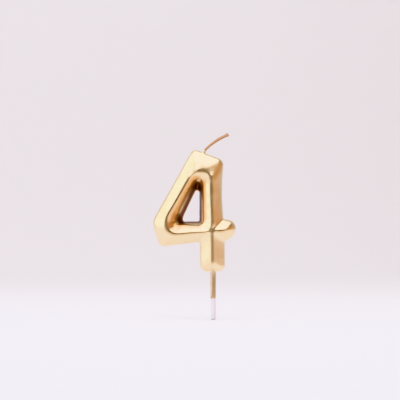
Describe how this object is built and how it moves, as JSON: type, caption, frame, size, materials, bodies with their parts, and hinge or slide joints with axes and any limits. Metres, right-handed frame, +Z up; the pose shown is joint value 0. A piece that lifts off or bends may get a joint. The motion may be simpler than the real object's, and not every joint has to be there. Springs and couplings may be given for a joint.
{
  "type": "number birthday candle",
  "caption": "Cake-top birthday candle shaped as a number, in gold-lacquered wax with a leaning wick, on a plastic stick that pushes into a cake.",
  "frame": {"origin": "on the stick's axis, at the level of the digit's foot, where the candle meets the icing", "axes": "+Z up along the stick, +X to the digit's right seen from the front, and the chiselled front faces -Y"},
  "size_m": [0.0478, 0.01, 0.1067],
  "materials": {
    "wax": "cream paraffin wax, hidden under the lacquer",
    "gold_lacquer": "satin metallic gold lacquer with fine flake",
    "wick_cotton": "braided cotton, hidden under the lacquer",
    "wick_lacquer": "metallic gold lacquer soaked into a braid",
    "stick_plastic": "white moulded polypropylene, satin",
    "stick_lacquer": "satin metallic gold lacquer with an uneven lower edge"
  },
  "bodies": {
    "root": {"wax_digit": "wax", "gold_coat": "gold_lacquer", "wick": "wick_cotton", "wick_coat": "wick_lacquer", "stick": "stick_plastic", "stick_coat": "stick_lacquer"}
  },
  "joints": []
}
